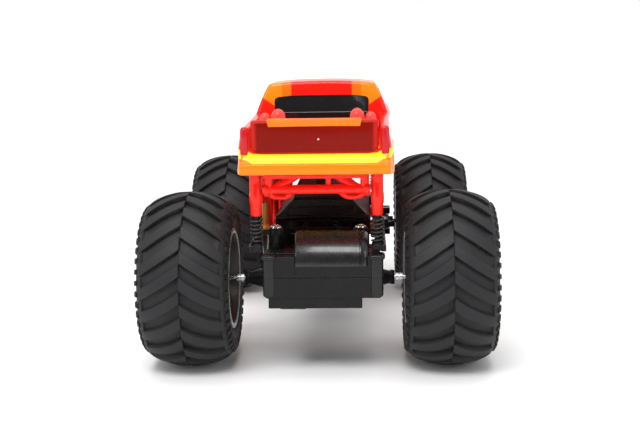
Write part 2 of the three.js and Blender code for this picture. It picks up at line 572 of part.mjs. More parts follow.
// ---- front axle: housing, steering rack, knuckles ----
{
  const y = AXLE_Y;
  const top = SEAM_Z + 9;
  let housing = join(
    box(-21, 21, y - 13, y + 12, 31, SEAM_Z + 0.5),
    box(-31, 31, y - 4.5, y + 4.5, SEAM_Z - 0.6, SEAM_Z + 2.4),
    box(-31, 31, y - 4.5, y + 4.5, 28.6, 31.4),
    box(-24.2, -18, y - 9, y + 9, SEAM_Z + 1, top), box(18, 24.2, y - 9, y + 9, SEAM_Z + 1, top),
    box(-24.2, 24.2, y - 9, y + 9, SEAM_Z - 1, SEAM_Z + 2.4),
  );
  housing = cut(
    housing,
    box(-19, 19, y - 1.6, y + 10.2, 33, SEAM_Z + 0.2),
    box(-19, 19, y - 1.6, y + 8, SEAM_Z - 0.2, SEAM_Z + 9),
    box(-40, 40, y - STEER_ARM - 2, y - STEER_ARM + 2, 33.2, 38.2), // channel for the rack
    box(-6, 6, y - STEER_ARM - 2.6, y + 1, 36, SEAM_Z + 10),
    axial("z", -KINGPIN_X, y, 20, 30, 1.35, 12), axial("z", KINGPIN_X, y, 20, 30, 1.35, 12),
  );
  place("front_axle_housing", housing, BLACK);

  // steering motor lies along Y with its pinion over the rack
  place("steering_motor", join(
    axial("y", 0, y - 0.9, PINION_Z, 8.6, 5.2, 20), axial("y", 0, y - 1.5, PINION_Z, 0.8, 2, 12),
  ).subtract(axial("y", 0, y - 3, PINION_Z, 8, 0.95, 10)), STEEL);

  const rackY = y - STEER_ARM;
  const pitch = Math.PI * MODULE;
  const teeth = [];
  for (let i = -4; i <= 4; i++) {
    const x = (i + 0.5) * pitch;
    teeth.push([x - 0.275 * pitch, 36.75], [x - 0.1 * pitch, 37.7], [x + 0.1 * pitch, 37.7], [x + 0.275 * pitch, 36.75]);
  }
  const rackShape = new THREE.ExtrudeGeometry(outline([[-9, 33.6], [9, 33.6], [9, 36.75], ...teeth.reverse(), [-9, 36.75]]),
    { depth: 3, bevelEnabled: false });
  rackShape.rotateX(Math.PI / 2).translate(0, rackY + 1.5, 0);
  let rack = join(solid(rackShape), box(-33.4, 33.4, rackY - 1.5, rackY + 1.5, 33.6, 36.4));
  for (const s of [-1, 1]) rack = rack.subtract(box(s * KINGPIN_X - 1.3, s * KINGPIN_X + 1.3, rackY - 3, rackY + 3, 33, 37));
  for (const s of [-1, 1]) {
    rack = rack.add(cut(
      box(s * KINGPIN_X - 2.9, s * KINGPIN_X + 2.9, rackY - 3, rackY + 3, 33.6, 36.4),
      box(s * KINGPIN_X - 1.3, s * KINGPIN_X + 1.3, rackY - 1.8, rackY + 1.8, 33, 37),
    ));
  }
  place("steering_rack", rack, BLACK);

  const wheel = new THREE.ExtrudeGeometry(outline(gearOutline(STEER_TEETH, -Math.PI / 2)), { depth: 3, bevelEnabled: false });
  wheel.rotateX(Math.PI / 2).translate(0, rackY + 1.5, 0).translate(0, 0, PINION_Z);
  place("steering_pinion", join(solid(wheel), axial("y", 0, rackY + 1, PINION_Z, 10, 0.75, 10)), NYLON);

  for (const [side, s] of [["left", -1], ["right", 1]]) {
    let knuckle = join(
      box(KINGPIN_X - 2.4, KINGPIN_X + 2.4, y - 3, y + 3, 31.8, SEAM_Z - 1),
      axial("z", KINGPIN_X, y, 29, 12.6, 1.05, 12),
      box(KINGPIN_X - 1.6, KINGPIN_X + 1.6, y - STEER_ARM - 1.6, y - 2, 37.4, 39),
      axial("z", KINGPIN_X, y - STEER_ARM, 34, 4, 0.9, 10),
      axial("x", KINGPIN_X + 2, y, TYRE_R, 2.6, 2.4, 12),
      axial("x", KINGPIN_X + 2, y, TYRE_R, 66.8 - KINGPIN_X - 2, SHAFT_R, 12),
    );
    if (s < 0) knuckle = mirrorX(knuckle);
    place(`knuckle_${side}`, knuckle, BLACK);
  }
}

export default truck;
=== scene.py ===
"""Looks of a toy radio-controlled monster truck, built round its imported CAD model.

The truck faces +Y, X points to its right, Z up. Shapes are written in millimetres and scaled once."""

import json
import math

import bmesh
import bpy
from mathutils import Matrix, Vector


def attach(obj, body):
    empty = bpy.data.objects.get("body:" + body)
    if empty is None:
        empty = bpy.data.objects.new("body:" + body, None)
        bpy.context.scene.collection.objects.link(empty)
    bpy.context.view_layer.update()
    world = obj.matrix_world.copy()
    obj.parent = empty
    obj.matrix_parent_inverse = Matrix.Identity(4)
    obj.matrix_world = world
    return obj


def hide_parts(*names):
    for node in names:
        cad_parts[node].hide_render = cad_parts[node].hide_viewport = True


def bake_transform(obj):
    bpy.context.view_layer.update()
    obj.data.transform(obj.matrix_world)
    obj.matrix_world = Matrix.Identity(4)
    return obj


MM = 0.001
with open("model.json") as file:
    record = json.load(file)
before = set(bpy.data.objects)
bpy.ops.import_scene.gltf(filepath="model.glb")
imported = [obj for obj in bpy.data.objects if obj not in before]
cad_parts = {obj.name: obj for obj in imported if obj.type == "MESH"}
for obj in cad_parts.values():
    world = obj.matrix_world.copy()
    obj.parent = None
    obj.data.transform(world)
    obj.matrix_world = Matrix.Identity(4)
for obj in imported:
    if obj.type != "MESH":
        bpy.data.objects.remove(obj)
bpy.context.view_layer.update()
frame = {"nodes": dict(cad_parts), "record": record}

AXLE_Y = 69.0
WHEEL_X = 51.5
AXLE_Z = 35.0
FRAME_X = 23.2
SHOCK_Y = (51.0, 87.0)
BODY_OF = {n: b for b, nodes in frame["record"]["behaviour"]["bodies"].items() for n in nodes}


# ---------------------------------------------------------------- materials
GRAIN_SCALE = 2600


def node_tree(name):
    """A new material, its node tree and the shader in it."""
    mat = bpy.data.materials.new(name)
    mat.use_nodes = True
    tree = mat.node_tree
    tree.nodes.clear()
    out = tree.nodes.new("ShaderNodeOutputMaterial")
    shader = tree.nodes.new("ShaderNodeBsdfPrincipled")
    tree.links.new(shader.outputs[0], out.inputs[0])
    return mat, tree, shader


def noise(tree, scale, detail=3.0, rough=0.55, stretch=(1, 1, 1)):
    coord = tree.nodes.new("ShaderNodeTexCoord")
    mapping = tree.nodes.new("ShaderNodeMapping")
    mapping.inputs["Scale"].default_value = stretch
    tex = tree.nodes.new("ShaderNodeTexNoise")
    tex.inputs["Scale"].default_value = scale
    tex.inputs["Detail"].default_value = detail
    tex.inputs["Roughness"].default_value = rough
    tree.links.new(coord.outputs["Object"], mapping.inputs["Vector"])
    tree.links.new(mapping.outputs[0], tex.inputs["Vector"])
    return tex.outputs["Fac"]


def spread(tree, value, low, high):
    ramp = tree.nodes.new("ShaderNodeMapRange")
    ramp.inputs["From Min"].default_value = 0.3
    ramp.inputs["From Max"].default_value = 0.7
    ramp.inputs["To Min"].default_value = low
    ramp.inputs["To Max"].default_value = high
    tree.links.new(value, ramp.inputs["Value"])
    return ramp.outputs["Result"]


def mix(tree, fac, a, b):
    m = tree.nodes.new("ShaderNodeMix")
    m.data_type = "RGBA"
    for socket, value in ((m.inputs[0], fac), (m.inputs[6], a), (m.inputs[7], b)):
        if isinstance(value, (tuple, list)):
            socket.default_value = (*value[:3], 1.0)
        elif isinstance(value, (int, float)):
            socket.default_value = value
        else:
            tree.links.new(value, socket)
    return m.outputs[2]


def math_node(tree, op, a, b=0.0):
    m = tree.nodes.new("ShaderNodeMath")
    m.operation = op
    for socket, value in ((m.inputs[0], a), (m.inputs[1], b)):
        if isinstance(value, (int, float)):
            socket.default_value = value
        else:
            tree.links.new(value, socket)
    return m.outputs[0]


def step(tree, value, edge, soft):
    """0 below edge, 1 above it, over a width of soft."""
    m = tree.nodes.new("ShaderNodeMapRange")
    m.inputs["From Min"].default_value = edge - soft / 2
    m.inputs["From Max"].default_value = edge + soft / 2
    if isinstance(value, (int, float)):
        m.inputs["Value"].default_value = value
    else:
        tree.links.new(value, m.inputs["Value"])
    return m.outputs["Result"]


def bumps(tree, shader, layers):
    """layers of (height socket, strength, distance) chained into the shader's normal."""
    last = None
    for height, strength, distance in layers:
        b = tree.nodes.new("ShaderNodeBump")
        b.inputs["Strength"].default_value = strength
        b.inputs["Distance"].default_value = distance
        tree.links.new(height, b.inputs["Height"])
        if last is not None:
            tree.links.new(last, b.inputs["Normal"])
        last = b.outputs[0]
    tree.links.new(last, shader.inputs["Normal"])


def plastic(name, color, rough=0.4, grain=0.06, coat=0.0, metal=0.0, vary=0.18, specular=0.5):
    """Moulded plastic, slightly uneven in colour and gloss, with a fine grain."""
    mat, tree, shader = node_tree(name)
    large = noise(tree, 55, 4)
    small = noise(tree, GRAIN_SCALE, 2)
    dark = tuple(c * (1 - vary) for c in color)
    light = tuple(min(1, c * (1 + vary) + 0.004) for c in color)
    tree.links.new(mix(tree, large, dark, light), shader.inputs["Base Color"])
    tree.links.new(spread(tree, noise(tree, 240, 4), rough - 0.05, rough + 0.07), shader.inputs["Roughness"])
    shader.inputs["Metallic"].default_value = metal
    shader.inputs["Coat Weight"].default_value = coat
    shader.inputs["Coat Roughness"].default_value = 0.08
    shader.inputs["Specular IOR Level"].default_value = specular
    bumps(tree, shader, [(large, 0.05, 0.0006), (small, grain, 0.00012)])
    return mat


def steel(name, color, rough=0.3):
    """Bright metal with a very fine grain."""
    mat, tree, shader = node_tree(name)
    lines = noise(tree, 900, 3, 0.6)
    tree.links.new(mix(tree, lines, tuple(c * 0.8 for c in color), color), shader.inputs["Base Color"])
    tree.links.new(spread(tree, lines, rough - 0.07, rough + 0.1), shader.inputs["Roughness"])
    shader.inputs["Metallic"].default_value = 1.0
    bumps(tree, shader, [(lines, 0.06, 0.0001)])
    return mat


def object_axes(tree):
    """The sockets of a point's x, y and z, in the object's own metres."""
    coord = tree.nodes.new("ShaderNodeTexCoord")
    split = tree.nodes.new("ShaderNodeSeparateXYZ")
    tree.links.new(coord.outputs["Object"], split.inputs[0])
    return split.outputs


def lacquer(tree, shader, color, grain, gloss, specular=0.1, coat=0.24, coat_gloss=0.09):
    """Glossy paint: a colour with uneven gloss under a clear coat."""
    tree.links.new(color, shader.inputs["Base Color"])
    tree.links.new(spread(tree, noise(tree, grain, 4), *gloss), shader.inputs["Roughness"])
    shader.inputs["Specular IOR Level"].default_value = specular
    shader.inputs["Coat Weight"].default_value = coat
    shader.inputs["Coat Roughness"].default_value = coat_gloss
    bumps(tree, shader, [(noise(tree, 420, 2), 0.05, 0.0002)])


RED = (0.80, 0.012, 0.006)
ORANGE = (1.0, 0.205, 0.006)
BROWN_ORANGE = (0.62, 0.14, 0.004)
YELLOW = (1.0, 0.66, 0.02)


def body_paint():
    """Red pickup paint with an orange sill, a yellow band over it and orange roof corners."""
    mat, tree, shader = node_tree("body_paint")
    x, y, z = object_axes(tree)
    ax = math_node(tree, "ABSOLUTE", x)
    # flames climb from the yellow band on the sides and lick to the rear
    flame = noise(tree, 26, 3, 0.5, (0.2, 1.0, 2.2))
    on_side = step(tree, ax, 0.0262, 0.001)
    ahead = step(tree, y, -0.045, 0.02)
    lift = math_node(tree, "SUBTRACT", math_node(tree, "MULTIPLY", flame, 0.022), 0.006)
    lift = math_node(tree, "MULTIPLY", lift, math_node(tree, "MULTIPLY", on_side, ahead))
    corner = math_node(tree, "MULTIPLY", step(tree, ax, 0.0245, 0.003), 0.0016)
    height = math_node(tree, "SUBTRACT", math_node(tree, "SUBTRACT", z, lift), corner)
    red_up = mix(tree, noise(tree, 40, 3), RED, tuple(c * 0.9 for c in RED))
    color = mix(tree, step(tree, height, 0.0879, 0.0005), YELLOW, red_up)
    edge = step(tree, height, 0.0844, 0.0004)
    color = mix(tree, edge, ORANGE, color)
    # roof and pillars: red middle, brown-orange strips, orange corners over red pillar feet
    strip = mix(tree, step(tree, ax, 0.0131, 0.0003), red_up, BROWN_ORANGE)
    strip = mix(tree, step(tree, ax, 0.0171, 0.0004), strip, ORANGE)
    slope = math_node(tree, "SUBTRACT", z, math_node(tree, "MULTIPLY", ax, 0.66))
    pillar = step(tree, slope, 0.088, 0.0008)
    high = step(tree, z, 0.0985, 0.0004)
    roof = math_node(tree, "MULTIPLY", high, pillar)
    behind = math_node(tree, "SUBTRACT", 1.0, step(tree, y, 0.034, 0.001))
    roof = math_node(tree, "MULTIPLY", roof, behind)
    ahead_of_bed = step(tree, y, -0.0295, 0.0005)
    roof = math_node(tree, "MULTIPLY", roof, ahead_of_bed)
    color = mix(tree, roof, color, strip)
    lacquer(tree, shader, color, 130, (0.13, 0.22))
    return mat


def solid_paint(name, color, rough=0.2):
    mat, tree, shader = node_tree(name)
    shade = mix(tree, noise(tree, 60, 3), tuple(c * 0.88 for c in color), color)
    lacquer(tree, shader, shade, 150, (rough - 0.04, rough + 0.06))
    return mat


def rubber():
    mat, tree, shader = node_tree("tyre_rubber")
    large = noise(tree, 70, 5)
    small = noise(tree, 1500, 3)
    shade = mix(tree, large, (0.0095, 0.0095, 0.0108), (0.018, 0.018, 0.0195))
    tree.links.new(shade, shader.inputs["Base Color"])
    tree.links.new(spread(tree, small, 0.5, 0.68), shader.inputs["Roughness"])
    shader.inputs["Specular IOR Level"].default_value = 0.28
    bumps(tree, shader, [(large, 0.06, 0.0005), (small, 0.16, 0.00012)])
    return mat


def gate_paint():
    """Dark red panel whose rolled edges take a brighter red: a painted highlight on the rounded edges."""
    mat, tree, shader = node_tree("tailgate_red")
    x, _, z = object_axes(tree)
    # the brighter red at the side, lower and top edges is a painted highlight of the rolled edges
    side = step(tree, math_node(tree, "ABSOLUTE", x), 0.0218, 0.0012)
    low = math_node(tree, "SUBTRACT", 1.0, step(tree, z, 0.0884, 0.0006))
    top = step(tree, z, 0.0996, 0.0005)
    rim = math_node(tree, "MAXIMUM", math_node(tree, "MAXIMUM", side, low), top)
    panel = mix(tree, noise(tree, 30, 3), (0.165, 0.0035, 0.0015), (0.2, 0.006, 0.0025))
    color = mix(tree, rim, panel, (0.44, 0.012, 0.008))
    lacquer(tree, shader, color, 150, (0.2, 0.3), specular=0.05, coat=0.08, coat_gloss=0.06)
    return mat


MATERIALS = {
    "paint": body_paint(),
    "tailgate": gate_paint(),
    # the knobs' pinkish light red is partly their own red and partly a painted reflection of their gloss
    "post": solid_paint("bed_post_red", (0.92, 0.07, 0.05), 0.22),
    "orange": solid_paint("orange_strip", (1.0, 0.17, 0.007)),
    "bumper": solid_paint("bumper_orange", ORANGE),
    "fender": solid_paint("rear_fender_red", (0.5, 0.012, 0.018), 0.08),
    "frame": plastic("frame_red", (0.95, 0.016, 0.006), 0.3, 0.05, coat=0.1, vary=0.06, specular=0.25),
    "black": plastic("black_plastic", (0.0065, 0.0065, 0.0071), 0.28, 0.08, vary=0.2, specular=0.16),
    "cover": plastic("motor_cover_plastic", (0.007, 0.007, 0.008), 0.26, 0.04, coat=0.22, vary=0.2,
                     specular=0.4),
    "column": plastic("column_plastic", (0.0065, 0.0065, 0.0071), 0.24, 0.05, vary=0.2, specular=0.3),
    "lid": plastic("lid_plastic", (0.008, 0.008, 0.009), 0.36, 0.1, vary=0.2, specular=0.3),
    "glass": plastic("dark_glazing", (0.006, 0.006, 0.007), 0.12, 0.02, coat=0.4, vary=0.3),
    "amber": plastic("amber_rod", (0.55, 0.21, 0.01), 0.3, 0.04, coat=0.2),
    "spring": plastic("spring_black", (0.02, 0.018, 0.018), 0.35, 0.05, metal=0.3),
    "rubber": rubber(),
    "rim": plastic("rim_grey", (0.035, 0.031, 0.027), 0.36, 0.05, vary=0.2, specular=0.4),
    "lip": plastic("rim_lip", (0.26, 0.26, 0.25), 0.25, 0.04, vary=0.12),
    "steel": steel("bright_steel", (0.72, 0.73, 0.75), 0.22),
    "lens": plastic("clear_lens", (0.72, 0.76, 0.8), 0.1, 0.02, coat=0.8, vary=0.05),
    "nylon": plastic("white_nylon", (0.72, 0.71, 0.66), 0.45, 0.05, vary=0.06),
    "brass": steel("brass", (0.75, 0.52, 0.2), 0.3),
    "cell": plastic("cell_sleeve", (0.02, 0.16, 0.05), 0.3, 0.03, coat=0.3),
    "board": plastic("circuit_green", (0.01, 0.1, 0.035), 0.4, 0.06),
}


# ---------------------------------------------------------------- mesh helpers
def add_object(name, verts, faces, mat, node, replace=True, bevel=0.0, smooth=32, segments=3):
    """One mesh object from points in millimetres; it rides with the CAD node's body."""
    me = bpy.data.meshes.new(name)
    me.from_pydata([Vector(v) * MM for v in verts], [], faces)
    return finish_object(name, me, mat, node, replace, bevel, smooth, segments)


def face_outward(me, merge=0.0):
    """Merges the mesh's doubled points, if asked, and turns its faces outward."""
    bm = bmesh.new()
    bm.from_mesh(me)
    if merge:
        bmesh.ops.remove_doubles(bm, verts=bm.verts, dist=merge)
    bmesh.ops.recalc_face_normals(bm, faces=bm.faces)
    bm.to_mesh(me)
    bm.free()


def finish_object(name, me, mat, node, replace=True, bevel=0.0, smooth=32, segments=3):
    """Makes an object of a mesh in metres, with its material and ride; it hides the CAD node when it replaces
    it.
    """
    face_outward(me, merge=1e-6)
    me.shade_smooth()
    if not bevel:
        me.set_sharp_from_angle(angle=math.radians(smooth))
    obj = bpy.data.objects.new(name, me)
    bpy.context.scene.collection.objects.link(obj)
    me.materials.append(MATERIALS[mat])
    if bevel:
        mod = obj.modifiers.new("round", "BEVEL")
        mod.width = bevel * MM
        mod.segments = segments
        mod.limit_method = "ANGLE"
        mod.angle_limit = math.radians(smooth)
        mod.harden_normals = True
    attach(obj, BODY_OF[node])
    if replace:
        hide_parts(node)
    return obj


class Shape:
    """Gathers closed pieces, in millimetres, into one mesh."""

    def __init__(self):
        self.verts, self.faces = [], []

    def put(self, verts, faces, mirror=False):
        base = len(self.verts)
        self.verts += [((-v[0] if mirror else v[0]), v[1], v[2]) for v in verts]
        for f in faces:
            self.faces.append([base + i for i in (reversed(f) if mirror else f)])
        return self

    def box(self, x0, x1, y0, y1, z0, z1):
        v = [(x, y, z) for z in (z0, z1) for y in (y0, y1) for x in (x0, x1)]
        f = [(0, 2, 3, 1), (4, 5, 7, 6), (0, 1, 5, 4), (1, 3, 7, 5), (3, 2, 6, 7), (2, 0, 4, 6)]
        return self.put(v, f)

    def rings(self, rings, close=True, caps=True):
        """A skin over rings of points, all of the same length."""
        n = len(rings[0])
        verts = [p for ring in rings for p in ring]
        faces = []
        for i in range(len(rings) - 1):
            for k in range(n if close else n - 1):
                a, b = i * n + k, i * n + (k + 1) % n
                faces.append((a, b, b + n, a + n))
        if caps:
            faces.append(list(reversed(range(n))))
            faces.append([(len(rings) - 1) * n + k for k in range(n)])
        return self.put(verts, faces)

    def turned(self, profile, centre, axis="x", segments=64, flip=1, closed=True):
        """A closed profile of (offset, radius) turned about an axis."""
        c = Vector(centre)
        verts, faces = [], []
        for i in range(segments):
            a = 2 * math.pi * i / segments
            for o, r in profile:
                p, q = r * math.cos(a), r * math.sin(a)
                d = {"x": (flip * o, p, q), "y": (p, flip * o, q), "z": (p, q, flip * o)}[axis]
                verts.append(tuple(c + Vector(d)))
        n = len(profile)
        for i in range(segments):
            j = (i + 1) % segments
            for k in range(n if closed else n - 1):
                m = (k + 1) % n
                faces.append((i * n + k, i * n + m, j * n + m, j * n + k))
        return self.put(verts, faces)

    def pin(self, centre, axis, length, r, chamfer=0.2, segments=32):
        """A solid round bar with chamfered ends, starting at centre."""
        prof = [(0, r - chamfer), (chamfer, r), (length - chamfer, r), (length, r - chamfer)]
        rings = []
        c = Vector(centre)
        for o, rad in prof:
            ring = []
            for i in range(segments):
                a = 2 * math.pi * i / segments
                p, q = rad * math.cos(a), rad * math.sin(a)
                d = {"x": (o, p, q), "y": (q, o, p), "z": (p, q, o)}[axis]
                ring.append(tuple(c + Vector(d)))
            rings.append(ring)
        return self.rings(rings)

    def tube(self, points, r, sides=18, fillet=3.0):
        """A round tube along straight runs with rounded bends."""
        path = fillet_path([Vector(p) for p in points], fillet)
        return self.rings(sweep(path, r, sides))


def bend(s, p, e, count):
    """Points of a short curve from s to e that leans into the corner p."""
    places = [k / count for k in range(count + 1)]
    return [s * (1 - t) ** 2 + p * 2 * t * (1 - t) + e * t ** 2 for t in places]


def fillet_path(points, radius, count=7):
    """A path of straight runs whose corners are short curves."""
    out = [points[0]]
    for a, p, b in zip(points, points[1:], points[2:]):
        u, v = (a - p), (b - p)
        d = min(radius, u.length * 0.45, v.length * 0.45)
        s, e = p + u.normalized() * d, p + v.normalized() * d
        out += bend(s, p, e, count)
    out.append(points[-1])
    return out


def sweep(path, r, sides):
    """Rings of a circle carried along a path without twist."""
    angles = [2 * math.pi * k / sides for k in range(sides)]
    rings = []
    side = None
    for i, p in enumerate(path):
        ahead = path[min(i + 1, len(path) - 1)] - path[max(i - 1, 0)]
        ahead.normalize()
        if side is None:
            side = ahead.orthogonal().normalized()
        side = (side - ahead * side.dot(ahead)).normalized()
        up = ahead.cross(side)
        rings.append([tuple(p + side * r * math.cos(a) + up * r * math.sin(a)) for a in angles])
    return rings


def faced_forward(shape):
    """The same shape mirrored to the other end of the truck."""
    faces = [list(reversed(f)) for f in shape.faces]
    return Shape().put([(x, -y, z) for x, y, z in shape.verts], faces)


def made(name, shape, mat, node, **kw):
    return add_object(name, shape.verts, shape.faces, mat, node, **kw)


def on_body(name, shape, mat, **kw):
    """One more piece of the painted body."""
    return made(name, shape, mat, "body_shell", replace=False, **kw)


def smoothstep(t):
    t = max(0.0, min(1.0, t))
    return t * t * (3 - 2 * t)


def table(x, rows):
    """Linear interpolation in rows of (x, value)."""
    if x <= rows[0][0]:
        return rows[0][1]
    for (a, va), (b, vb) in zip(rows, rows[1:]):
        if x <= b:
            return va + (vb - va) * (x - a) / (b - a)
    return rows[-1][1]


def curve_table(x, rows):
    """Smooth interpolation in rows of (x, value), with matched slopes at the rows."""
    if x <= rows[0][0]:
        return rows[0][1]
    for i in range(len(rows) - 1):
        (a, va), (b, vb) = rows[i], rows[i + 1]
        if x <= b:
            before = rows[i - 1] if i else rows[i]
            after = rows[i + 2] if i + 2 < len(rows) else rows[i + 1]
            m0 = (vb - before[1]) / (b - before[0])
            m1 = (after[1] - va) / (after[0] - a)
            h, t = b - a, (x - a) / (b - a)
            return ((2 * t ** 3 - 3 * t ** 2 + 1) * va + (t ** 3 - 2 * t ** 2 + t) * h * m0
                    + (-2 * t ** 3 + 3 * t ** 2) * vb + (t ** 3 - t ** 2) * h * m1)
    return rows[-1][1]


def refined(node, mat, bevel=0.2, smooth=32, segments=2):
    """The CAD node's own shape with its edges rounded over."""
    me = frame["nodes"][node].data.copy()
    me.materials.clear()
    bm = bmesh.new()
    bm.from_mesh(me)
    bmesh.ops.remove_doubles(bm, verts=bm.verts, dist=2e-6)
    bmesh.ops.dissolve_limit(bm, angle_limit=math.radians(1.0), verts=bm.verts, edges=bm.edges)
    bm.to_mesh(me)
    bm.free()
    return finish_object("fine_" + node, me, mat, node, True, bevel, smooth, segments)


def keep(node, mat):
    """A CAD node that keeps its own mesh and only takes a material."""
    data = frame["nodes"][node].data
    data.materials.clear()
    data.materials.append(MATERIALS[mat])


def rounded(points, radius, count=5):
    """A closed outline in 3-D with rounded corners."""
    out = []
    n = len(points)
    for i in range(n):
        p = Vector(points[i])
        u, v = Vector(points[i - 1]) - p, Vector(points[(i + 1) % n]) - p
        d = min(radius, u.length * 0.45, v.length * 0.45)
        s, e = p + u.normalized() * d, p + v.normalized() * d
        out += [tuple(q) for q in bend(s, p, e, count)]
    return out


# ---------------------------------------------------------------- tyres and rims
LUGS = 21
# across a lug or block: (place across its width, height); along the wall: (offset from the middle, radius)
LUG_SECTION = [(-0.56, 0), (-0.5, 0.88), (-0.46, 1), (0.0, 1.0), (0.46, 1), (0.5, 0.88), (0.56, 0)]
BLOCK_SECTION = [(-0.55, -0.7), (-0.5, 0), (-0.42, 0.12), (0.42, 0.12), (0.5, 0), (0.55, -0.7)]
BLOCK_PROFILE = [(16.3, 29.3), (16.9, 29.7), (17.7, 28.6), (17.88, 27.2), (17.88, 26.3), (17.3, 25.6)]
LUG_TOP = [(0, 35.0), (5, 34.75), (10, 33.6), (13.4, 32.2), (15.0, 31.2), (16.0, 30.3), (16.9, 29.0)]
CARCASS = [(0, 33.0), (2.5, 32.95), (5, 32.8), (7.5, 32.3), (10, 31.6), (12, 30.8), (13.2, 30.35),
           (14.2, 30.25), (14.8, 30.6), (15.1, 30.8), (15.9, 30.1), (16.5, 29.3), (17.1, 28.1),
           (17.45, 26.6), (17.6, 25.2), (17.55, 24.0), (17.3, 23.2), (17.5, 22.6), (17.2, 21.7),
           (16.4, 20.9), (15.6, 20.45)]


def tyre_shape(x, y, stagger):
    s = Shape()
    profile = [(-o, r) for o, r in reversed(CARCASS)] + CARCASS[1:]
    s.turned(profile + [(13, 20.4), (-13, 20.4)], (x, y, AXLE_Z), segments=168)
    pitch = 2 * math.pi / LUGS
    stations = [0.0, 0.25, 2.5, 4.5, 6.5, 8.5, 10.3, 11.8, 13.2, 14.3, 15.1, 15.9, 16.6, 16.9]
    for side in (-1, 1):
        for n in range(LUGS):
            start = n * pitch + (pitch / 2 if side > 0 else 0) + stagger
            rings = []
            for o in stations:
                middle = start - 0.93 * pitch * (o / 15.0) ** 0.92
                top = curve_table(o, LUG_TOP) - (0.25 if o == 0 else 0.5 if o == 16.9 else 0)
                width = table(o, [(0, 4.7), (0.25, 4.9), (12, 4.9), (15.1, 5.1), (16.9, 4.6)])
                ring = []
                for t, h in LUG_SECTION:
                    r = top - (1 - h) * (2.6 if h < 0.5 else 2.0)
                    a = middle + t * width / 34.0
                    ring.append((x + side * o, y - r * math.cos(a), AXLE_Z + r * math.sin(a)))
                rings.append(ring)
            s.rings(rings)
        # small blocks round the sidewall, two to a lug, and fine ribs from them to the rim
        for n in range(LUGS * 2):
            a0 = n * pitch / 2 + stagger
            rings = []
            for o, r in BLOCK_PROFILE:
                rings.append([(x + side * (o + d * 0.9), y - (r + d * 0.5) * math.cos(a0 + t * 1.75 / 28),
                               AXLE_Z + (r + d * 0.5) * math.sin(a0 + t * 1.75 / 28))
                              for t, d in BLOCK_SECTION])
            s.rings(rings)
            for shift in (-0.25, 0.25):
                rings = []
                for o, r in ((17.2, 26.2), (17.68, 25.6), (17.72, 24.6), (17.3, 23.9)):
                    rings.append([(x + side * (o + d), y - r * math.cos(a0 + shift * pitch / 2 + t / 25),
                                   AXLE_Z + r * math.sin(a0 + shift * pitch / 2 + t / 25))
                                  for t, d in ((-0.4, -0.5), (-0.22, 0.0), (0.22, 0.0), (0.4, -0.5))])
                s.rings(rings)
    return s


def rim_shape(x, y, side):
    """Offsets grow towards the outer face."""
    s = Shape()
    profile = [
        (-9, 1.15), (-9, 3.9), (-8.7, 4.2), (4.6, 4.6), (5.5, 5.4), (6.0, 8), (6.6, 14), (5.9, 15.6),
        (3.5, 16.8), (-3, 17.5), (-15.6, 17.9), (-16.7, 18.2), (-17, 18.8), (-16.7, 20.0), (-16, 20.15),
        (-14.5, 20.1), (14.5, 20.1), (16, 20.15), (16.8, 20.0), (17.0, 19.2), (16.6, 18.4), (15.2, 17.6),
        (11, 16.4), (9.6, 15.2), (9.5, 14), (10.1, 9), (10.6, 7.2), (12.2, 6.3), (12.5, 5.6), (12.5, 1.15),
    ]
    s.turned(profile, (x, y, AXLE_Z), segments=72, flip=side)
    return s


HOLE_RING = 10.8


def cylinder_cutter(x, y, side):
    """Six round holes through the rim's disc."""
    s = Shape()
    for i in range(6):
        a = i * math.pi / 3
        start = x - (2 if side > 0 else 18)
        s.pin((start, y + HOLE_RING * math.cos(a), AXLE_Z + HOLE_RING * math.sin(a)), "x", 20, 2.9, 0.1, 28)
    return s


def boolean(obj, cutter_shape, name):
    """Cuts a shape out of an object's mesh."""
    me = bpy.data.meshes.new(name)
    me.from_pydata([Vector(v) * MM for v in cutter_shape.verts], [], cutter_shape.faces)
    face_outward(me)
    tool = bpy.data.objects.new(name, me)
    bpy.context.scene.collection.objects.link(tool)
    mod = obj.modifiers.new("cut", "BOOLEAN")
    mod.operation = "DIFFERENCE"
    mod.solver = "EXACT"
    mod.object = tool
    bpy.context.view_layer.update()
    depsgraph = bpy.context.evaluated_depsgraph_get()
    result = bpy.data.meshes.new_from_object(obj.evaluated_get(depsgraph))
    obj.modifiers.remove(mod)
    old = obj.data
    obj.data = result
    bpy.data.meshes.remove(old)
    bpy.data.objects.remove(tool)
    bpy.data.meshes.remove(me)


for end, y in (("rear", -AXLE_Y), ("front", AXLE_Y)):
    for side_name, side in (("left", -1), ("right", 1)):
        tag = f"{end}_{side_name}"
        x = side * WHEEL_X
        stagger = {"rear_left": 0.0, "rear_right": 0.06, "front_left": 0.11, "front_right": 0.17}[tag]
        made("tread_" + tag, tyre_shape(x, y, stagger), "rubber", "tyre_" + tag, smooth=30)
        rim = made("wheel_" + tag, rim_shape(x, y, side), "rim", "rim_" + tag, smooth=40)
        boolean(rim, cylinder_cutter(x, y, side), "holes")
        rim.data.shade_smooth()
        rim.data.set_sharp_from_angle(angle=math.radians(35))
        lips = Shape()
        for o in (-16.9, 16.9):
            angles = [k * math.pi / 6 for k in range(12)]
            ring = [(o + 0.35 * math.cos(t), 19.3 + 0.95 * math.sin(t)) for t in angles]
            lips.turned(ring, (x, y, AXLE_Z), segments=96, flip=side)
        made("rim_lip_" + tag, lips, "lip", "rim_" + tag, replace=False, smooth=60)
        refined("wheel_nut_" + tag, "steel", 0.25)

# ---------------------------------------------------------------- pickup body
ARCH_R, ARCH_Z = 27.0, 61.0


def sill(y):
    base = table(y, [(-97, 80), (-40, 74.6), (92, 74.6), (97, 75.5)])
    for c in (-AXLE_Y, AXLE_Y):
        d = abs(y - c)
        if d < ARCH_R:
            base = max(base, ARCH_Z + math.sqrt(ARCH_R ** 2 - d ** 2))
    return base


def flare_at(y):
    """How far the wheel arch flares out here, from 0 to 1."""
    return max(smoothstep((25.5 - abs(y - c)) / 5.0) for c in (-AXLE_Y, AXLE_Y))


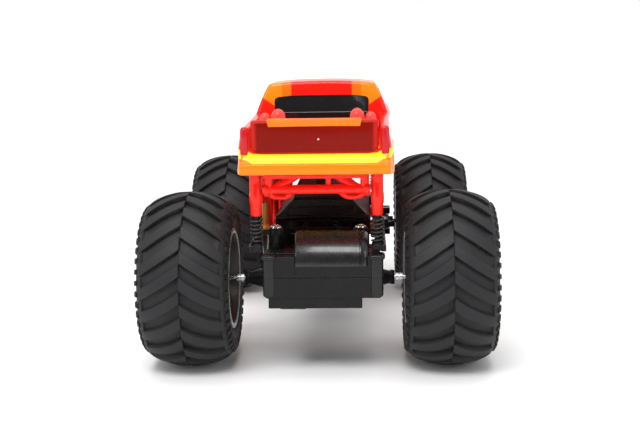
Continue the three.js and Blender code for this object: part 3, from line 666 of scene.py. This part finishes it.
def side_x(y):
    return curve_table(y, [(-97, 27.4), (-94, 28.3), (-70, 28.8), (-40, 29.5), (-10, 30.6), (20, 30.6),
                           (45, 29.9), (80, 29.2), (90, 28.0), (95, 25.6), (98, 22.0)])


def corner_round(points, radii, count=4):
    """Replaces each inner corner of a polyline by a short curve; the point count stays fixed."""
    out = [points[0]]
    for i in range(1, len(points) - 1):
        p = Vector(points[i])
        u, v = Vector(points[i - 1]) - p, Vector(points[i + 1]) - p
        d = min(radii[i], u.length * 0.48, v.length * 0.48)
        s = p + u.normalized() * d if u.length > 1e-6 else p
        e = p + v.normalized() * d if v.length > 1e-6 else p
        out += [(q.x, q.y) for q in bend(s, p, e, count)]
    out.append(points[-1])
    return out


def body_section(y):
    xo, zb, f = side_x(y), sill(y), flare_at(y)
    top = curve_table(y, [(-97, 97.4), (-60, 97.7), (-27, 97.9), (28, 98.2), (45, 98.0), (70, 96.0),
                          (86, 93.6), (94, 91.0), (98, 87.5)])
    if y < -27.5:  # open bed
        inner, floor, crown, mid = 24.6, 88.2, 88.0, 24.2
        lift = 0.0
    elif y < 31:
        inner, floor, crown, mid, lift = 25.5, 98.2, 98.3, 20.0, 0.15
    else:
        inner, mid, lift = 24.5, 15.0, 0.9
        fade = min(1.0, (y - 31) / 6) * min(1.0, max(0.0, (97.5 - y) / 14))
        floor, crown = top + 1.1, top + 1.2 + 1.0 * fade
    fl = 1.1 * f
    pts = [
        (xo - 1.2, zb), (xo + fl, zb), (xo + fl + 0.1, zb + 0.5 + 1.6 * f), (xo + 0.1, zb + 0.9 + 3.6 * f),
        (xo + 0.55, max(zb + 1.4 + 4.6 * f, 89.5)), (xo - 0.9, top), (inner, top + lift), (mid, floor),
        (0, crown),
    ]
    radii = [0, 0.5, 0.8, 1.2, 3.0, 1.3, 0.9, 0.9, 0]
    half = corner_round(pts, radii)
    return [(-a, y, b) for a, b in half] + [(a, y, b) for a, b in reversed(half[:-1])]


def body_stations():
    """The places along the truck at which the body's skin has a section."""
    ys = {-96.6, -95.5, -94, 93, 94.5, 96, 97.2}
    for c in (-AXLE_Y, AXLE_Y):
        for k in range(41):
            ys.add(round(c - ARCH_R * math.cos(math.pi * k / 40), 3))
        ys |= {c - 28.5, c + 28.5}
    ys |= {float(v) for v in range(-40, 42, 4)}
    ys |= {-27.9, -27.6, -27.4, -27.0, 30.9, 31.1, 33, 35}
    return sorted(v for v in ys if -96.6 <= v <= 97.2)


skin = Shape()
skin.rings([body_section(y) for y in body_stations()], close=False, caps=False)
body = made("body_skin", skin, "paint", "body_shell", smooth=34)
thick = body.modifiers.new("wall", "SOLIDIFY")
thick.thickness = 1.2 * MM
thick.offset = -1.0
thick.use_rim = True

# cab: rings of a rounded rectangle that lean in towards the roof
# (height, half width, rear end, front end) of the cab
CAB_LEVELS = [
    (96.6, 28.7, -26.2, 35.5), (98.0, 28.5, -26.0, 33.0), (100.5, 27.6, -25.4, 28.6),
    (103.5, 26.4, -24.7, 23.2), (106.5, 25.2, -23.9, 17.8), (108.8, 24.3, -23.3, 13.6),
    (110.4, 23.7, -22.9, 11.0), (111.0, 23.4, -22.7, 10.0), (111.35, 23.1, -22.4, 9.2),
    (111.55, 22.5, -21.8, 8.3), (111.68, 19.0, -19.0, 6.4), (111.8, 12.0, -12.5, 2.5),
    (111.85, 5.0, -8.0, -2.5),
]
ROOF_ARCH = 1.15


def cab_at(z):
    half = curve_table(z, [(r[0], r[1]) for r in CAB_LEVELS])
    rear = curve_table(z, [(r[0], r[2]) for r in CAB_LEVELS])
    fore = curve_table(z, [(r[0], r[3]) for r in CAB_LEVELS])
    return half, rear, fore


def cab_ring(z, half, rear, fore):
    r = min(2.1, half * 0.3)
    corners = [(half - r, fore - r, 0), (-half + r, fore - r, 90),
               (-half + r, rear + r, 180), (half - r, rear + r, 270)]
    ring = []
    for cx, cy, a0 in corners:
        for k in range(7):
            a = math.radians(a0 + 15 * k)
            ring.append((cx + r * math.cos(a), cy + r * math.sin(a), z))
    dense = []
    for i, p in enumerate(ring):
        q = ring[(i + 1) % len(ring)]
        steps = 8 if i % 7 == 6 else 1
        dense += [tuple(p[k] + (q[k] - p[k]) * t / steps for k in range(3)) for t in range(steps)]
    drop = ROOF_ARCH * smoothstep((z - 107.0) / 3.5)
    return [(px, py, pz - drop * min(1.0, abs(px) / 23.5) ** 2.6) for px, py, pz in dense]


cab = Shape()
cab.rings([cab_ring(*row) for row in CAB_LEVELS])
cab_obj = on_body("cab_top", cab, "paint", smooth=30)


def window_cutters():
    """A prism through the cab's wall for each window."""
    s = Shape()
    for outline, depth in WINDOWS:
        d = Vector(depth)
        n = len(outline)
        ends = [tuple(Vector(p) - d) for p in outline] + [tuple(Vector(p) + d * 6) for p in outline]
        s.put(ends, [list(reversed(range(n))), list(range(n, 2 * n))]
              + [(k, (k + 1) % n, (k + 1) % n + n, k + n) for k in range(n)])
    return s


def on_side(y, z):
    return cab_at(z)[0], y, z


def on_rear(x, z):
    return x, cab_at(z)[1], z


def on_windscreen(x, z):
    return x, cab_at(z)[2], z


rear_glass = rounded([on_rear(-20.0, 97.0), on_rear(20.0, 97.0), on_rear(20.6, 104.9), on_rear(12.0, 105.6),
                      on_rear(-12.0, 105.6), on_rear(-20.6, 104.9)], 2.4)
front_glass = rounded([on_windscreen(-22.5, 99.8), on_windscreen(-20.3, 109.0), on_windscreen(20.3, 109.0),
                       on_windscreen(22.5, 99.8)], 2.0)
side_glass = rounded([on_side(-18.5, 99.6), on_side(18.5, 99.6), on_side(4.5, 107.8), on_side(-17.0, 107.8)],
                     1.6)
side_glass_left = [(-a, b, c) for a, b, c in reversed(side_glass)]
slope_front = Vector((0, 12.5, 23.6)).normalized()
WINDOWS = [
    (rear_glass, (0, -0.9, 0.15)),
    (front_glass, tuple(slope_front * 0.9)),
    (side_glass, (0.9, 0, 0.33)),
    (side_glass_left, (-0.9, 0, 0.33)),
]
boolean(cab_obj, window_cutters(), "window_cuts")
cab_obj.data.shade_smooth()
cab_obj.data.set_sharp_from_angle(angle=math.radians(28))

glass = Shape()
for outline, depth in WINDOWS:
    c = sum((Vector(p) for p in outline), Vector()) / len(outline)
    shrunk = [c + (Vector(p) - c) * 0.992 for p in outline]
    n = len(shrunk)
    d = Vector(depth)
    layers = [[tuple(p - d * 1.2) for p in shrunk], [tuple(p - d * 0.5) for p in shrunk],
              [tuple(c + (p - c) * 0.985 - d * 0.38) for p in shrunk]]
    glass.rings(layers)
made("cab_glass", glass, "glass", "cab_glazing", smooth=30)

# rear end: bumper, lower panel, corner posts, tailgate with its strip
def plan_path(half, front, rear, r, count=8):
    """Half of a rounded U in plan, from the left side round the back to the right side."""
    pts = [(-half, front), (-half, rear + r)]
    for k in range(1, count + 1):
        a = math.pi / 2 * k / count
        pts.append((-half + r - r * math.cos(a), rear + r - r * math.sin(a)))
    pts += [(-12, rear), (0, rear), (12, rear)]
    return pts + [(-x, y) for x, y in reversed(pts[:-3])]


def skirt(profile, half, front, rear, r):
    """A profile of (inset, z) carried round the plan path; it is closed at both ends."""
    path = plan_path(half, front, rear, r)
    rings = []
    for i, (x, y) in enumerate(path):
        a, b = path[max(i - 1, 0)], path[min(i + 1, len(path) - 1)]
        d = Vector((b[0] - a[0], b[1] - a[1], 0)).normalized()
        n = Vector((d.y, -d.x, 0))
        rings.append([(x - n.x * o, y - n.y * o, z) for o, z in profile])
    return Shape().rings(rings)


cove = [(0.25, 83.9), (0.1, 84.3), (0.5, 84.8), (1.1, 85.3), (1.6, 86.0), (1.9, 86.8), (2.05, 87.6),
        (2.1, 88.6), (2.3, 89.6), (3.6, 89.7), (3.6, 83.9)]
on_body("rear_cove", skirt(cove, 28.4, -89.0, -98.9, 2.0), "paint", smooth=40)
bar = [(1.2, 80.0), (0.5, 80.1), (0.12, 80.5), (0.0, 81.2), (0.15, 82.3), (0.12, 83.4), (0.3, 84.0),
       (0.8, 84.35), (1.6, 84.4), (4.5, 84.4), (4.5, 80.0)]
on_body("rear_bumper_bar", skirt(bar, 28.3, -92.0, -99.0, 1.4), "bumper", smooth=50)
for side_name, sx in (("left", -1), ("right", 1)):
    bulge = Shape()
    rings = []
    for z, grow in ((87.6, 0.94), (88.6, 1.0), (91, 1.0), (94, 0.98), (96, 0.94), (97.0, 0.86), (97.5, 0.74),
                    (97.8, 0.5)):
        ring = []
        for k in range(28):
            a = 2 * math.pi * k / 28
            cx, cy = math.cos(a), math.sin(a)
            px = 1.75 * math.copysign(abs(cx) ** 0.85, cx) * grow
            py = 2.6 * math.copysign(abs(cy) ** 0.7, cy) * grow
            ring.append((sx * 26.1 + px, -94.9 + py, z))
        rings.append(ring)
    bulge.rings(rings)
    on_body("rear_fender_post_" + side_name, bulge, "fender", smooth=60)
gate = Shape()


def gate_outline(grow):
    foot, half = 21.4 + grow, 23.75 + grow
    low, shoulder, high = 87.5 - grow, 89.4 - grow * 0.4, 100.35 + grow
    return rounded([(-foot, 0, low), (foot, 0, low), (half, 0, shoulder), (half, 0, high), (-half, 0, high),
                    (-half, 0, shoulder)], 1.5 + grow * 0.6)


rings = []
for grow, y in ((-0.9, -94.6), (0, -95.2), (0, -96.0), (-0.12, -96.6), (-0.5, -97.15), (-1.1, -97.5),
                (-1.9, -97.62)):
    rings.append([(p[0], y, p[2]) for p in gate_outline(grow)])
gate.rings(rings)
on_body("tailgate_panel", gate, "tailgate", smooth=50)
strip = Shape()
rings = []
for y, z0, z1, w0, w1 in ((-96.9, 98.2, 100.6, 16.9, 17.3), (-97.75, 97.85, 100.45, 17.0, 17.5),
                          (-97.95, 98.05, 100.2, 16.9, 17.4)):
    lower_edge = [(-w0, y, z0), (-6, y, z0 + 0.12), (6, y, z0 + 0.12), (w0, y, z0)]
    rings.append(lower_edge + [(w1, y, z1), (6, y, z1), (-6, y, z1), (-w1, y, z1)])
strip.rings(rings)
on_body("tailgate_strip", strip, "orange", bevel=0.12, smooth=25)
cap = Shape().box(-17.4, 17.4, -97.4, -94.9, 99.9, 100.85)
on_body("tailgate_strip_top", cap, "orange", bevel=0.35)
mark = Shape().pin((1.5, -97.75, 93.2), "y", 0.5, 0.4, 0.1)
on_body("tailgate_stud", mark, "steel", smooth=40)
sill_rail = Shape().box(-23.8, 23.8, -30.2, -27.0, 93.8, 95.8)
on_body("bed_front_rail", sill_rail, "paint", bevel=0.7)
window_foot = Shape().box(-19.9, 19.9, -28.2, -25.0, 95.2, 98.7)
on_body("rear_window_foot", window_foot, "glass", bevel=0.3)
knobs = Shape()
for s in (-1, 1):
    knobs.turned([(0, 0.01), (0, 3.0), (11.6, 2.85), (12.9, 2.5), (14.0, 1.6), (14.5, 0.6), (14.6, 0.01)],
                 (s * 15.6, -66, 88), axis="z", segments=40, closed=False)
    knobs.turned([(0, 0.01), (0, 2.2), (11.0, 2.1), (12.2, 1.7), (12.9, 0.9), (13.1, 0.01)],
                 (s * 20.9, -66, 88), axis="z", segments=32, closed=False)
on_body("bed_posts", knobs, "post", smooth=50)

# nose: fascia round the grille and lamps, and the front bumper
nose = Shape()
nose.box(-25.8, 25.8, 92.5, 98.4, 75.2, 84.3)
nose.box(-25.8, 25.8, 92.5, 97.6, 89.4, 90.6)
for s in (-1, 1):
    for a, b in ((17.9, 19.1), (25.8, 26.6)):
        lo, hi = sorted((s * a, s * b))
        nose.box(lo, hi, 91.5 if a > 20 else 93, 97.9 if a < 20 else 96.4, 84.0, 89.8)
on_body("nose_panel", nose, "paint", bevel=0.45)
front_bar = Shape().box(-27, 27, 94.5, 100.0, 76.0, 82.0)
on_body("front_bumper_bar", front_bar, "bumper", bevel=1.2)
refined("front_grille", "black", 0.15)
refined("headlight_left", "lens", 0.3)
refined("headlight_right", "lens", 0.3)

# ---------------------------------------------------------------- tube frame
def sleeve(s, x, y):
    s.turned([(0, 1.5), (0.3, 1.9), (0.6, 2.15), (4.6, 2.2), (5.0, 2.45), (8.6, 2.5), (9.0, 2.3), (16.0, 2.3),
              (16.4, 2.0), (16.4, 0.01), (14.6, 0.01), (14.5, 1.5)], (x, y, 63), axis="z", segments=36)


def side_frame(s):
    x = FRAME_X
    s.tube([(x, -89.5, 77.5), (x, 89.5, 77.5)], 1.75)
    s.tube([(x, -86, 73), (x, -51, 68), (x, -35, 47), (x, 35, 47), (x, 51, 68), (x, 86, 73)], 1.75, fillet=5)
    for a, b in ((-34, -16), (34, 16), (0, -16), (0, 16)):
        s.tube([(x, a, 47), (x, b, 77.5)], 1.45)
    for e in (-1, 1):
        for y in SHOCK_Y:
            sleeve(s, x, e * y)
        s.box(20.6, x - 0.2, e * 26 - 3.8, e * 26 + 3.8, 44.7, 49.3)


right = Shape()
side_frame(right)
left = Shape().put(right.verts, right.faces, mirror=True)
made("tubes_right", right, "frame", "side_frame_right", smooth=40)
made("tubes_left", left, "frame", "side_frame_left", smooth=40)


def cross_frame():
    s = Shape()
    s.tube([(-20.6, -87, 73.2), (20.6, -87, 73.2)], 1.8, sides=24)
    for e in (-1, 1):
        s.tube([(e * 18.4, -87, 73.2), (e * 18.4, -87, 78.8)], 1.7)
        s.tube([(e * 17, -87, 73.2), (e * 10.5, -86, 76.4), (e * 6.4, -84, 79.0)], 1.5, fillet=3)
        s.tube([(e * 19, -86.5, 73.2), (e * 17.2, -85, 70.2), (e * 11.2, -84, 69.6), (e * 8, -86.5, 73.2)],
               1.1, fillet=3)
        s.turned([(-0.9, 1.0), (-1.0, 2.3), (-0.5, 2.6), (0.5, 2.6), (1.0, 2.3), (0.9, 1.0)],
                 (e * 19.0, -87, 73.2), axis="x", segments=36)
    s.tube([(4.6, -86, 73.2), (4.6, -86, 78.8)], 1.05)
    s.box(-19.4, 19.4, -95.8, -83.2, 78.4, 79.5)
    return s


rear_cross = cross_frame()
made("cross_tubes_rear", rear_cross, "frame", "cross_frame_rear", smooth=40)
made("cross_tubes_front", faced_forward(rear_cross), "frame", "cross_frame_front", smooth=40)

# ---------------------------------------------------------------- chassis
refined("chassis_tub", "black", 0.35, segments=3)
refined("chassis_lid", "lid", 0.4, segments=3)
refined("battery_door", "black", 0.2)
refined("power_switch", "steel", 0.2)
refined("battery_door_screw", "steel", 0.12)
keep("circuit_board", "board")
for i in (1, 2, 3):
    keep(f"battery_{i}", "cell")
keep("contact_plate_rear", "brass")
keep("contact_plate_front", "brass")

# ---------------------------------------------------------------- rear axle housing
GX0, GX1, GY0, GY1 = -20.7, 24.2, -93.8, -52.0
LEDGE_Y = -79.8
MOTOR_Y, MOTOR_Z = -82, 44.5
TOWER = (16.6, -76.6)
lower = Shape()
lower.box(GX0 + 1.1, GX1, GY0, GY1, 32.2, 39.98)
lower.box(-18.7, 17.1, GY0 + 0.4, GY1 + 1.6, 28.2, 33.4)
made("housing_lower", lower, "black", "gearbox_lower", bevel=0.3)


def upright(x0, x1, levels):
    """A column with rounded vertical corners; levels hold (z, how far it stands out)."""
    rings = []
    for z, out in levels:
        a, b, c, d = x0 - out, x1 + out, GY0 - 0.6 - out, GY0 + 6
        rings.append(rounded([(a, c, z), (b, c, z), (b, d, z), (a, d, z)], 1.5))
    return rings


COLUMNS = ((GX0, GX0 + 4.6), (GX1 - 3.8, GX1 + 1.0))
low_columns = Shape()
for x0, x1 in COLUMNS:
    low_columns.rings(upright(x0, x1, ((32.5, -0.7), (32.9, -0.2), (33.4, 0), (39.98, 0))))
made("housing_columns_lower", low_columns, "column", "gearbox_lower", replace=False, smooth=35)
arms = Shape()
cone = [(0, 1.35), (0, 2.6), (0.5, 2.9), (1.6, 2.95), (1.9, 2.6), (2.6, 2.7), (9.2, 4.5), (9.6, 5.1),
        (11, 5.2), (11, 1.35)]
arms.turned(cone, (-30.0, -AXLE_Y, AXLE_Z), segments=48)
arms.turned(cone, (30.0, -AXLE_Y, AXLE_Z), segments=48, flip=-1)
for r, centre in ((10.3, (-15, -AXLE_Y, AXLE_Z)), (9.8, (-15, -79.996, 34.704))):
    drum = [(0, 1), (0, r - 0.1), (0.5, r), (9.5, r), (10, r - 0.1), (10, 1)]
    arms.turned(drum, centre, segments=56)
made("housing_arms", arms, "black", "gearbox_lower", replace=False, smooth=35)
upper = Shape()
upper.box(GX0 + 0.4, -8.4, GY0, LEDGE_Y, 40.06, 48.4)
upper.box(-8.6, 19.4, GY0, LEDGE_Y, 40.06, 44.6)
upper.box(19.2, GX1 - 0.1, GY0, LEDGE_Y, 40.06, 48.4)
upper.box(GX0 + 0.4, GX1 - 0.1, LEDGE_Y - 0.6, GY1, 40.06, 45.4)
for x in (-7.0, 5.2):
    upper.box(x, x + 1.8, -60, -49.2, 44.2, 49.9)
    upper.box(x, x + 1.8, -60, -57.1, 49.5, 54.6)
    upper.box(x, x + 1.8, -50.9, -49.2, 49.5, 54.6)
upper.box(GX0 + 0.6, GX1 - 0.6, GY0 + 5, LEDGE_Y, 48.0, 48.9)
made("housing_upper", upper, "black", "gearbox_upper", bevel=0.3)
EAR_LEVELS = ((40.06, 0), (47.0, 0), (47.3, 0.35), (47.6, 0.6), (48.4, 0.65), (48.7, 0.5), (48.9, 0.1),
              (48.9, -0.4), (48.5, -0.6))
high_columns = Shape()
for x0, x1 in COLUMNS:
    high_columns.rings(upright(x0, x1, EAR_LEVELS))
made("housing_columns_upper", high_columns, "column", "gearbox_upper", replace=False, smooth=50)
cover = Shape()
rings = []
half_turn = [math.pi * k / 28 for k in range(29)]
for x, r in ((-8.6, 11.0), (-8.3, 11.5), (-7.8, 11.78), (16.2, 11.78), (16.4, 11.3), (16.7, 11.3),
             (16.9, 11.7), (18.4, 11.5), (19.3, 10.8), (19.6, 9.8)):
    rings.append([(x, MOTOR_Y + r * math.cos(a), MOTOR_Z + r * math.sin(a)) for a in half_turn])
cover.rings(rings)
made("motor_cover", cover, "cover", "gearbox_upper", replace=False, smooth=35)
towers = Shape()
for x in (-TOWER[0], TOWER[0]):
    towers.turned([(0, 0.01), (0, 3.0), (6.0, 2.95), (6.1, 3.15), (6.7, 3.15), (6.8, 2.95), (11.2, 2.9),
                   (11.8, 2.7), (11.9, 2.3), (11.2, 2.2), (11.2, 0.01)],
                  (x, TOWER[1], 44.8), axis="z", segments=40, closed=False)
made("housing_towers", towers, "black", "gearbox_upper", replace=False, smooth=35)
for name, x in (("left", -TOWER[0]), ("right", TOWER[0])):
    s = Shape()
    s.turned([(0, 0.01), (0, 2.0), (0.25, 2.15), (0.7, 2.0), (1.05, 1.4), (1.1, 0.9), (0.75, 0.85),
              (0.7, 0.01)], (x, TOWER[1], 56.6), axis="z", segments=40, closed=False)
    made("tower_screw_head_" + name, s, "steel", "tower_screw_" + name, smooth=35)
for node, mat in (("drive_motor", "steel"), ("motor_pinion", "brass"), ("reduction_gear", "nylon"),
                  ("reduction_pin", "steel"), ("axle_gear", "nylon")):
    keep(node, mat)
shaft = Shape().pin((-66.8, -AXLE_Y, AXLE_Z), "x", 133.6, 1.0, 0.25, 40)
for x in (-33.3, 30.3):
    shaft.turned([(0, 0.9), (0, 1.5), (0.15, 1.65), (1.2, 1.65), (1.3, 1.35), (1.6, 1.35), (1.7, 1.65),
                  (2.85, 1.65), (3.0, 1.5), (3.0, 0.9)], (x, -AXLE_Y, AXLE_Z), segments=40)
made("rear_shaft", shaft, "steel", "axle_shaft_rear", smooth=35)

# ---------------------------------------------------------------- suspension
COIL_R = 2.25
COIL_TURNS, COIL_STEPS = 6.5, 28
for end, e in (("rear", -1), ("front", 1)):
    for side_name, side in (("left", -1), ("right", 1)):
        tag = f"{end}_{side_name}"
        x = side * FRAME_X
        for y, finish, reach in zip(SHOCK_Y, ("amber", "black"), (22, 15.5)):
            rods = Shape()
            rods.pin((x, e * y, 51.0), "z", reach, 1.15, 0.3, 28)
            rods.turned([(0, 0.01), (0, 2.0), (0.3, 2.3), (1.1, 2.3), (1.4, 1.9), (2.4, 1.5), (2.4, 0.01)],
                        (x, e * y, 51.4), axis="z", segments=32, closed=False)
            made(f"rods_{tag}_{int(y)}", rods, finish, "shock_rods_" + tag, replace=finish == "amber",
                 smooth=40)
        base = Shape()
        lo, hi = sorted((side * (FRAME_X + 1.2), side * (FRAME_X + 3.2)))
        ylo, yhi = sorted((e * (SHOCK_Y[0] - 3), e * (SHOCK_Y[1] + 3)))
        base.box(lo, hi, ylo, yhi, 49.4, 51.8)
        for y in SHOCK_Y:
            lo2, hi2 = sorted((side * (FRAME_X - 2), side * (FRAME_X + 2.6)))
            base.box(lo2, hi2, e * y - 2.6, e * y + 2.6, 49.6, 52.0)
        made("rod_base_" + tag, base, "black", "shock_rods_" + tag, replace=False, bevel=0.4)
        coil = []
        for i in range(int(COIL_TURNS * COIL_STEPS) + 1):
            a = 2 * math.pi * i / COIL_STEPS
            z = 52.5 + 10.0 * (i / (COIL_TURNS * COIL_STEPS))
            coil.append(Vector((x + COIL_R * math.cos(a), e * SHOCK_Y[1] + COIL_R * math.sin(a), z)))
        spring = Shape().rings(sweep(coil, 0.38, 10))
        spring_obj = made("coil_" + tag, spring, "spring", "spring_" + tag, smooth=50)
        spring_obj.parent = None
        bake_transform(spring_obj)


def wishbone():
    s = Shape()
    for e in (-1, 1):
        s.tube([(e * 7.4, -39.5, 49), (e * 12.6, -54.6, 51.5)], 1.4)
        s.turned([(0, 0.9), (0, 2.0), (0.2, 2.2), (2.8, 2.2), (3.0, 2.0), (3.0, 0.9)],
                 (6.4 if e > 0 else -9.4, -39.5, 49), segments=32)
    s.tube([(-12.6, -54.4, 51.6), (12.6, -54.4, 51.6)], 1.3)
    s.pin((-12.2, -39.5, 49), "x", 24.4, 1.0, 0.2, 24)
    return s


rear_arm = wishbone()
made("arm_rear", rear_arm, "black", "wishbone_rear", smooth=40)
made("arm_front", faced_forward(rear_arm), "black", "wishbone_front", smooth=40)

# ---------------------------------------------------------------- front axle
refined("front_axle_housing", "black", 0.3)
refined("steering_rack", "black", 0.12)
refined("knuckle_left", "steel", 0.12)
refined("knuckle_right", "steel", 0.12)
keep("steering_motor", "steel")
keep("steering_pinion", "nylon")

# ---------------------------------------------------------------- stage, light, camera
floor_mesh = bpy.data.meshes.new("floor")
REACH = 6.0
floor_corners = [(-REACH, -REACH, 0), (REACH, -REACH, 0), (REACH, REACH, 0), (-REACH, REACH, 0)]
floor_mesh.from_pydata(floor_corners, [], [(0, 1, 2, 3)])
floor = bpy.data.objects.new("floor", floor_mesh)
bpy.context.scene.collection.objects.link(floor)
floor_mat, floor_tree, floor_shader = node_tree("pale_floor")
pale = mix(floor_tree, noise(floor_tree, 3, 3), (0.88, 0.88, 0.88), (0.91, 0.91, 0.91))
floor_tree.links.new(pale, floor_shader.inputs["Base Color"])
floor_shader.inputs["Roughness"].default_value = 0.7
floor_shader.inputs["Specular IOR Level"].default_value = 0.2
place = floor_tree.nodes.new("ShaderNodeTexCoord")
reach = floor_tree.nodes.new("ShaderNodeVectorMath")
reach.operation = "LENGTH"
floor_tree.links.new(place.outputs["Object"], reach.inputs[0])
floor_shader.inputs["Emission Color"].default_value = (1, 1, 1, 1)
glow = step(floor_tree, reach.outputs["Value"], 0.95, 1.0)
floor_tree.links.new(glow, floor_shader.inputs["Emission Strength"])
floor_mesh.materials.append(floor_mat)

# a white light tent, open to the rear where the camera stands
world = bpy.data.worlds.new("studio")
bpy.context.scene.world = world
world.use_nodes = True
wt = world.node_tree
back = wt.nodes["Background"]
direction = wt.nodes.new("ShaderNodeTexCoord")
toward = wt.nodes.new("ShaderNodeVectorMath")
toward.operation = "DOT_PRODUCT"
toward.inputs[1].default_value = (0.03, -0.985, 0.17)
wt.links.new(direction.outputs["Generated"], toward.inputs[0])
tent = wt.nodes.new("ShaderNodeMapRange")
tent.inputs["From Min"].default_value = 0.45
tent.inputs["From Max"].default_value = 0.8
tent.inputs["To Min"].default_value = 0.85
tent.inputs["To Max"].default_value = 0.10
wt.links.new(toward.outputs["Value"], tent.inputs["Value"])
seen = wt.nodes.new("ShaderNodeLightPath")
level = wt.nodes.new("ShaderNodeMix")
wt.links.new(seen.outputs["Is Camera Ray"], level.inputs[0])
wt.links.new(tent.outputs["Result"], level.inputs[2])
level.inputs[3].default_value = 1.0
wt.links.new(level.outputs[0], back.inputs[1])
back.inputs[0].default_value = (1.0, 1.0, 1.0, 1)


def area(name, place, target, size, power):
    light = bpy.data.lights.new(name, "AREA")
    light.shape = "RECTANGLE"
    light.size, light.size_y = size
    light.energy = power
    obj = bpy.data.objects.new(name, light)
    bpy.context.scene.collection.objects.link(obj)
    obj.location = place
    obj.rotation_euler = (Vector(target) - Vector(place)).to_track_quat("-Z", "Y").to_euler()


area("overhead", (0.0, 0.0, 1.0), (0, 0, 0.05), (0.9, 0.7), 4.0)
area("front_key", (-0.15, -0.75, 0.95), (0, -0.05, 0.05), (0.7, 0.4), 10.0)
area("left_strip", (-0.55, -0.5, 0.3), (0, -0.05, 0.08), (0.05, 0.5), 0.9)
area("right_strip", (0.55, -0.5, 0.3), (0, -0.05, 0.08), (0.05, 0.5), 0.9)

camera_data = bpy.data.cameras.new("camera")
camera = bpy.data.objects.new("camera", camera_data)
bpy.context.scene.collection.objects.link(camera)
bpy.context.scene.camera = camera
camera_data.sensor_width = 36.0
camera_data.lens = 62.5
camera_data.clip_start = 0.01
camera.location = (0.0193, -0.5056, 0.1305)
aim = Matrix.Rotation(math.radians(2.47), 4, "Z") @ Matrix.Rotation(math.radians(90 - 9.04), 4, "X")
camera.matrix_world = Matrix.Translation(camera.location) @ aim @ Matrix.Rotation(math.radians(-0.89), 4, "Z")

scene = bpy.context.scene
scene.view_settings.view_transform = "Standard"
scene.view_settings.look = "None"
